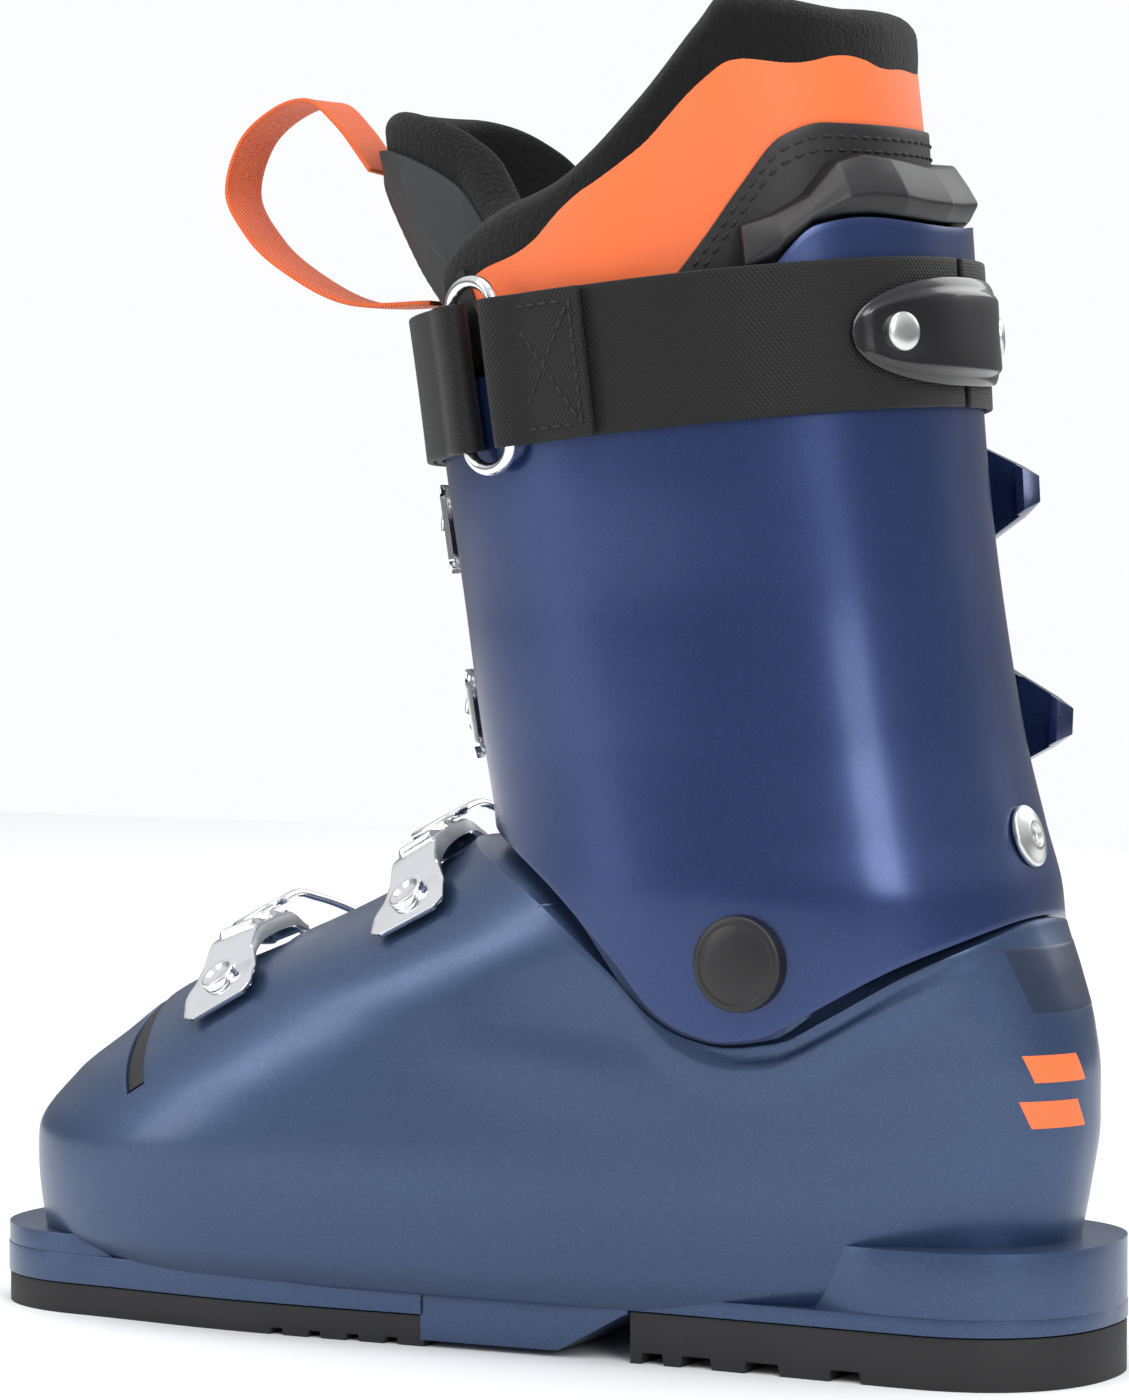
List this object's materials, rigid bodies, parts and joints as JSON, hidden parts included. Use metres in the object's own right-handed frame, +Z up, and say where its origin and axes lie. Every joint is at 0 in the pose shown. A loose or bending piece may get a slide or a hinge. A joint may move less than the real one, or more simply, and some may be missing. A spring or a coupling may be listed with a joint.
{
  "type": "alpine ski boot",
  "caption": "Right alpine ski boot: overlap lower shell, hinged cuff, micro-adjust buckles, power strap, liner with tongue and pull loop, and rubber sole pads.",
  "frame": {"origin": "on the ground under the middle of the bounding box", "axes": "+X to the toe, +Y to the inner side of the foot, +Z up"},
  "size_m": [0.2845, 0.123, 0.3035],
  "materials": {
    "shell_blue": "metallic navy polyurethane, satin gloss",
    "lever_blue": "metallic navy lacquer",
    "sole_rubber": "moulded matte",
    "gasket_rubber": "smooth matte",
    "black_plastic": "satin",
    "gloss_black": "glossy",
    "polished_steel": "bright plated",
    "zinc_steel": "zinc plated",
    "board_plastic": "grained",
    "lining_fabric": "knitted lining",
    "lining_fleece": "brushed fleece",
    "liner_orange": "laminated fabric",
    "webbing_orange": "woven webbing",
    "webbing_black": "woven webbing",
    "tongue_grey": "satin"
  },
  "bodies": {
    "shell": {"lower_shell": "shell_blue", "toe_sole_pad": "sole_rubber", "heel_sole_pad": "sole_rubber", "toe_gasket": "gasket_rubber", "boot_board": "board_plastic", "insole": "lining_fabric", "liner_foot": "lining_fabric", "pivot_cap_medial": "black_plastic", "pivot_cap_lateral": "black_plastic", "pivot_nut_medial": "zinc_steel", "pivot_nut_lateral": "zinc_steel", "ladder_1": "polished_steel", "ladder_rivet_1": "polished_steel", "lever_base_1": "black_plastic", "lever_base_rivet_1": "zinc_steel", "ladder_2": "polished_steel", "ladder_rivet_2": "polished_steel", "lever_base_2": "black_plastic", "lever_base_rivet_2": "zinc_steel"},
    "cuff": {"cuff_shell": "shell_blue", "calf_spoiler": "black_plastic", "liner_upper": "liner_orange", "liner_tongue": "lining_fleece", "tongue_shell": "tongue_grey", "pull_loop": "webbing_orange", "spine_bolt": "zinc_steel", "spine_nut": "zinc_steel", "strap_long": "webbing_black", "strap_short": "webbing_black", "strap_ring": "polished_steel", "strap_anchor": "gloss_black", "anchor_rivet_medial": "zinc_steel", "anchor_rivet_lateral": "zinc_steel", "ladder_3": "polished_steel", "ladder_rivet_3": "polished_steel", "lever_base_3": "black_plastic", "lever_base_rivet_3": "zinc_steel", "ladder_4": "polished_steel", "ladder_rivet_4": "polished_steel", "lever_base_4": "black_plastic", "lever_base_rivet_4": "zinc_steel"},
    "lever_1": {"lever_1": "lever_blue", "lever_pin_1": "zinc_steel", "bail_pin_1": "zinc_steel"},
    "bail_1": {"bail_1": "polished_steel"},
    "lever_2": {"lever_2": "lever_blue", "lever_pin_2": "zinc_steel", "bail_pin_2": "zinc_steel"},
    "bail_2": {"bail_2": "polished_steel"},
    "lever_3": {"lever_3": "lever_blue", "lever_pin_3": "zinc_steel", "bail_pin_3": "zinc_steel"},
    "bail_3": {"bail_3": "polished_steel"},
    "lever_4": {"lever_4": "lever_blue", "lever_pin_4": "zinc_steel", "bail_pin_4": "zinc_steel"},
    "bail_4": {"bail_4": "polished_steel"}
  },
  "joints": [
    {"name": "cuff_flex", "type": "hinge", "parent": "shell", "child": "cuff", "pos_m": [-0.0765, 0.0041, 0.0923], "axis": [0, 1, 0], "range_deg": [0, 3], "stiffness_Nm_per_rad": 300, "springref_deg": -1.15},
    {"name": "lever_1_open", "type": "hinge", "parent": "shell", "child": "lever_1", "pos_m": [0.06574, -0.04201, 0.07769], "axis": [-0.8879, 0.0533, 0.457], "range_deg": [0, 105]},
    {"name": "bail_1_swing", "type": "hinge", "parent": "lever_1", "child": "bail_1", "pos_m": [0.06269, -0.04514, 0.07213], "axis": [-0.8879, 0.0533, 0.457], "range_deg": [-105, 0]},
    {"name": "lever_2_open", "type": "hinge", "parent": "shell", "child": "lever_2", "pos_m": [0.01522, -0.0402, 0.09998], "axis": [-0.892, 0.0609, 0.4479], "range_deg": [0, 105]},
    {"name": "bail_2_swing", "type": "hinge", "parent": "lever_2", "child": "bail_2", "pos_m": [0.01223, -0.04345, 0.09446], "axis": [-0.892, 0.0609, 0.4479], "range_deg": [-105, 0]},
    {"name": "lever_3_open", "type": "hinge", "parent": "cuff", "child": "lever_3", "pos_m": [-0.01808, -0.04648, 0.14218], "axis": [0.0004, -0.0881, 0.9961], "range_deg": [0, 105]},
    {"name": "bail_3_swing", "type": "hinge", "parent": "lever_3", "child": "bail_3", "pos_m": [-0.02499, -0.04797, 0.14205], "axis": [0.0004, -0.0881, 0.9961], "range_deg": [-105, 0]},
    {"name": "lever_4_open", "type": "hinge", "parent": "cuff", "child": "lever_4", "pos_m": [-0.01675, -0.05019, 0.18745], "axis": [0.0921, -0.0887, 0.9918], "range_deg": [0, 105]},
    {"name": "bail_4_swing", "type": "hinge", "parent": "lever_4", "child": "bail_4", "pos_m": [-0.02376, -0.05093, 0.18803], "axis": [0.0921, -0.0887, 0.9918], "range_deg": [-105, 0]}
  ],
  "couplings": [
    {"joint": "bail_1_swing", "follows": "lever_1_open", "ratio": -1},
    {"joint": "bail_2_swing", "follows": "lever_2_open", "ratio": -1},
    {"joint": "bail_3_swing", "follows": "lever_3_open", "ratio": -1},
    {"joint": "bail_4_swing", "follows": "lever_4_open", "ratio": -1}
  ]
}
